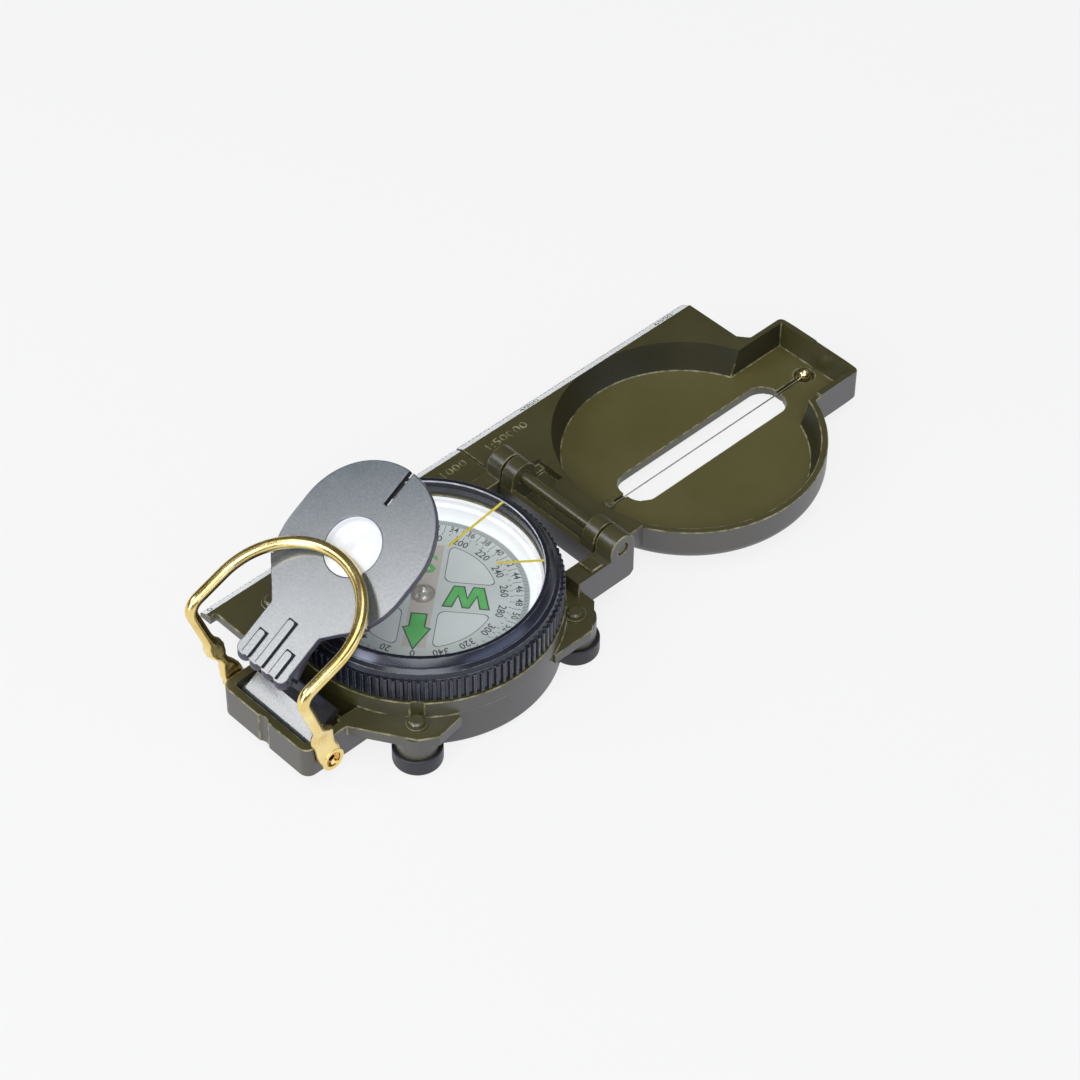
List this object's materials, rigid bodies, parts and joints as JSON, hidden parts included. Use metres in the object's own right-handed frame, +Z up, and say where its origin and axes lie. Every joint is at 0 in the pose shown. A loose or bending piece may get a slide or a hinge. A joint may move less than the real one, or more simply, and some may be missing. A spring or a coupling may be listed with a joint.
{
  "type": "lensatic compass",
  "caption": "Folding lensatic compass: round case with turning bezel and card, hinged cover with sighting slot, tilting lens bracket and wire thumb loop.",
  "frame": {"origin": "under the middle of the open compass's box, on the plane that the rubber feet stand on", "axes": "+X from the thumb loop to the front end of the opened cover, +Y towards the straight edge, +Z up"},
  "size_m": [0.1476, 0.0548, 0.0455],
  "materials": {
    "cast_paint": "satin",
    "rivet_paint": "satin",
    "black_rubber": "matte",
    "white_bowl": "gloss",
    "clear_lid": "gloss",
    "steel": "satin",
    "bezel_black": "satin",
    "crystal": "gloss",
    "lume": "matte",
    "dial": "matte",
    "magnet": "matte",
    "brass": "polished",
    "leaf_paint": "satin",
    "lens": "gloss"
  },
  "bodies": {
    "case": {"base_casting": "cast_paint", "foot_rivets": "rivet_paint", "foot_washers": "rivet_paint", "rubber_feet": "black_rubber", "capsule_bowl": "white_bowl", "capsule_lid": "clear_lid", "pivot_post": "steel", "bezel_snap_ring": "steel", "hinge_pin": "rivet_paint", "bracket_pin": "steel", "loop_screws": "brass"},
    "bezel": {"bezel_ring": "bezel_black", "bezel_glass": "crystal", "glass_retainer": "bezel_black", "marching_lines": "lume"},
    "card": {"compass_card": "dial", "jewel_cup": "brass", "magnet_bar": "magnet"},
    "cover": {"cover_casting": "cast_paint", "sighting_wire": "brass", "rear_wire_anchor": "brass", "front_wire_anchor": "brass"},
    "bracket": {"lens_bracket": "leaf_paint", "magnifying_lens": "lens"},
    "loop": {"thumb_loop": "brass"}
  },
  "joints": [
    {"name": "cover_fold", "type": "hinge", "parent": "case", "child": "cover", "pos_m": [0.00224, -0.00017, 0.014], "axis": [0, -1, 0], "range_deg": [0, 180]},
    {"name": "lens_bracket_tilt", "type": "hinge", "parent": "case", "child": "bracket", "pos_m": [-0.06582, -0.00017, 0.0062], "axis": [0, -1, 0], "range_deg": [-32, 0]},
    {"name": "thumb_loop_swing", "type": "hinge", "parent": "case", "child": "loop", "pos_m": [-0.06582, -0.00017, 0.0062], "axis": [0, -1, 0], "range_deg": [0, 75]},
    {"name": "bezel_turn", "type": "hinge", "parent": "case", "child": "bezel", "pos_m": [-0.03182, -0.00017, 0.0102], "axis": [0, 0, 1], "continuous": true},
    {"name": "card_turn", "type": "hinge", "parent": "case", "child": "card", "pos_m": [-0.03182, -0.00017, 0.0102], "axis": [0, 0, 1], "continuous": true}
  ],
  "couplings": [
    {"joint": "lens_bracket_tilt", "follows": "cover_fold", "ratio": -0.17777},
    {"joint": "thumb_loop_swing", "follows": "cover_fold", "ratio": 0.41666}
  ]
}
